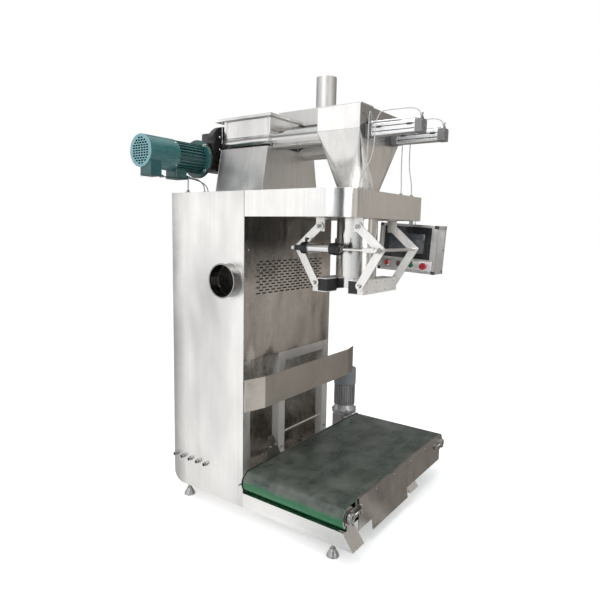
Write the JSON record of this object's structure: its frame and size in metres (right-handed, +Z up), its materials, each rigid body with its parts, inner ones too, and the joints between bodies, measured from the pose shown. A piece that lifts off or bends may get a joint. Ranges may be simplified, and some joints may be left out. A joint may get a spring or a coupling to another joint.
{
  "type": "powder packaging machine",
  "caption": "Stainless powder packaging machine: hopper with screw feeders, filling spout, swing-arm bag clamp, operator panel and belt conveyor on a tall cabinet.",
  "frame": {"origin": "on the floor, straight below the filling spout's axis", "axes": "+Z up, +X along the belt to its drive end, +Y from the spout towards the cabinet"},
  "size_m": [1.653, 1.441, 2.527],
  "materials": {
    "stainless": "brushed",
    "teal_paint": "semi-gloss paint",
    "teal_light": "semi-gloss paint",
    "black_cast": "painted cast iron",
    "steel_dark": "machined",
    "aluminium": "anodised",
    "cast_aluminium": "cast",
    "chrome": "polished",
    "rubber_black": "matt",
    "belt_green": "satin",
    "screen": "gloss",
    "red_plastic": "gloss",
    "dark_red_plastic": "gloss",
    "green_plastic": "gloss",
    "grey_paint": "semi-gloss paint",
    "cable_black": "matt",
    "hose_white": "satin"
  },
  "bodies": {
    "frame": {"cabinet_shell": "stainless", "perforated_panel": "stainless", "recess_liner": "stainless", "door_hinges": "stainless", "base_beams": "stainless", "levelling_feet": "stainless", "platform_skirt": "stainless", "platform_plate": "stainless", "dust_port": "stainless", "hose_fittings": "steel_dark", "feeder_stand": "stainless", "hopper": "stainless", "screw_barrels": "stainless", "screw_bearings": "black_cast", "screw_gearboxes": "black_cast", "screw_motor_frames": "teal_paint", "screw_motor_cowls": "teal_light", "terminal_boxes": "teal_paint", "discharge_chute": "stainless", "vent_hood": "stainless", "filling_spout": "stainless", "gate_cylinders": "aluminium", "clamp_hangers": "stainless", "panel_arm": "stainless", "conveyor_sides": "stainless", "conveyor_bed": "stainless", "conveyor_belt": "belt_green", "take_up_bearings": "steel_dark", "conveyor_gearbox": "cast_aluminium", "conveyor_motor_frame": "cast_aluminium", "conveyor_motor_cowl": "grey_paint", "guard_frame": "stainless", "guard_plate": "stainless", "motor_leads": "cable_black", "air_hoses": "hose_white"},
    "fine_screw": {"fine_auger": "stainless"},
    "coarse_screw": {"coarse_auger": "stainless"},
    "fine_motor_rotor": {"fine_rotor": "steel_dark"},
    "coarse_motor_rotor": {"coarse_rotor": "steel_dark"},
    "fine_gate_rod": {"fine_gate": "chrome"},
    "coarse_gate_rod": {"coarse_gate": "chrome"},
    "front_clamp": {"front_clamp_arms": "stainless", "front_jaw": "stainless", "front_jaw_pad": "rubber_black"},
    "back_clamp": {"back_clamp_arms": "stainless", "back_jaw": "stainless", "back_jaw_pad": "rubber_black"},
    "clamp_barrel": {"clamp_cylinder": "aluminium"},
    "clamp_piston": {"clamp_rod": "chrome"},
    "panel": {"panel_box": "stainless", "panel_screen": "screen"},
    "power_knob": {"power_button": "red_plastic"},
    "reset_knob": {"reset_button": "dark_red_plastic"},
    "start_knob": {"start_button": "green_plastic"},
    "stop_knob": {"stop_button": "red_plastic"},
    "belt_motor_rotor": {"conveyor_rotor": "steel_dark"},
    "belt_drive": {"drive_roller": "rubber_black"},
    "belt_idler": {"idler_roller": "steel_dark"},
    "door": {"rear_door": "stainless"},
    "latch": {"door_latch": "stainless"}
  },
  "joints": [
    {"name": "fine_motor_turn", "type": "hinge", "parent": "frame", "child": "fine_motor_rotor", "pos_m": [-0.3, 0.917, 2.045], "axis": [1, 0, 0], "continuous": true},
    {"name": "fine_screw_turn", "type": "hinge", "parent": "frame", "child": "fine_screw", "pos_m": [-0.14, 0.5, 2.137], "axis": [0, 1, 0], "continuous": true},
    {"name": "coarse_motor_turn", "type": "hinge", "parent": "frame", "child": "coarse_motor_rotor", "pos_m": [0.3, 0.917, 2.045], "axis": [1, 0, 0], "continuous": true},
    {"name": "coarse_screw_turn", "type": "hinge", "parent": "frame", "child": "coarse_screw", "pos_m": [0.14, 0.5, 2.137], "axis": [0, 1, 0], "continuous": true},
    {"name": "fine_gate_slide", "type": "slide", "parent": "frame", "child": "fine_gate_rod", "axis": [0, 1, 0], "range_m": [0, 0.155]},
    {"name": "coarse_gate_slide", "type": "slide", "parent": "frame", "child": "coarse_gate_rod", "axis": [0, 1, 0], "range_m": [0, 0.155]},
    {"name": "front_clamp_swing", "type": "hinge", "parent": "frame", "child": "front_clamp", "pos_m": [0, -0.115, 1.668], "axis": [-1, 0, 0], "range_deg": [0, 15]},
    {"name": "back_clamp_swing", "type": "hinge", "parent": "frame", "child": "back_clamp", "pos_m": [0, 0.115, 1.668], "axis": [1, 0, 0], "range_deg": [0, 15]},
    {"name": "clamp_barrel_pivot", "type": "hinge", "parent": "back_clamp", "child": "clamp_barrel", "pos_m": [-0.232, 0.246, 1.554], "axis": [-1, 0, 0], "range_deg": [0, 15]},
    {"name": "clamp_piston_pivot", "type": "hinge", "parent": "front_clamp", "child": "clamp_piston", "pos_m": [-0.232, -0.246, 1.554], "axis": [1, 0, 0], "range_deg": [0, 15]},
    {"name": "panel_swing", "type": "hinge", "parent": "frame", "child": "panel", "pos_m": [0.515, -0.089, 1.712], "axis": [0, 0, 1], "range_deg": [0, 90]},
    {"name": "power_button_press", "type": "slide", "parent": "panel", "child": "power_knob", "axis": [1, 0, 0], "range_m": [0, 0.0035], "stiffness_N_per_m": 400},
    {"name": "reset_button_press", "type": "slide", "parent": "panel", "child": "reset_knob", "axis": [1, 0, 0], "range_m": [0, 0.0035], "stiffness_N_per_m": 400},
    {"name": "start_button_press", "type": "slide", "parent": "panel", "child": "start_knob", "axis": [1, 0, 0], "range_m": [0, 0.0035], "stiffness_N_per_m": 400},
    {"name": "stop_button_press", "type": "slide", "parent": "panel", "child": "stop_knob", "axis": [1, 0, 0], "range_m": [0, 0.005], "stiffness_N_per_m": 600},
    {"name": "belt_motor_turn", "type": "hinge", "parent": "frame", "child": "belt_motor_rotor", "pos_m": [0.86, 0.555, 0.4], "axis": [0, 0, 1], "continuous": true},
    {"name": "belt_drive_turn", "type": "hinge", "parent": "frame", "child": "belt_drive", "pos_m": [0.82, 0.1, 0.2415], "axis": [0, 1, 0], "continuous": true},
    {"name": "belt_idler_turn", "type": "hinge", "parent": "frame", "child": "belt_idler", "pos_m": [-0.378, 0.1, 0.2415], "axis": [0, 1, 0], "continuous": true},
    {"name": "door_swing", "type": "hinge", "parent": "frame", "child": "door", "pos_m": [-0.393, 1.005, 1], "axis": [0, 0, 1], "range_deg": [0, 110]},
    {"name": "latch_turn", "type": "hinge", "parent": "door", "child": "latch", "pos_m": [0.339, 0.99, 1], "axis": [0, 1, 0], "range_deg": [0, 90]}
  ],
  "couplings": [
    {"joint": "fine_screw_turn", "follows": "fine_motor_turn", "ratio": 0.066667},
    {"joint": "coarse_screw_turn", "follows": "coarse_motor_turn", "ratio": 0.066667},
    {"joint": "back_clamp_swing", "follows": "front_clamp_swing", "ratio": 1},
    {"joint": "clamp_barrel_pivot", "follows": "front_clamp_swing", "ratio": 1},
    {"joint": "clamp_piston_pivot", "follows": "front_clamp_swing", "ratio": 1},
    {"joint": "belt_drive_turn", "follows": "belt_motor_turn", "ratio": 0.05},
    {"joint": "belt_idler_turn", "follows": "belt_motor_turn", "ratio": 0.05}
  ]
}
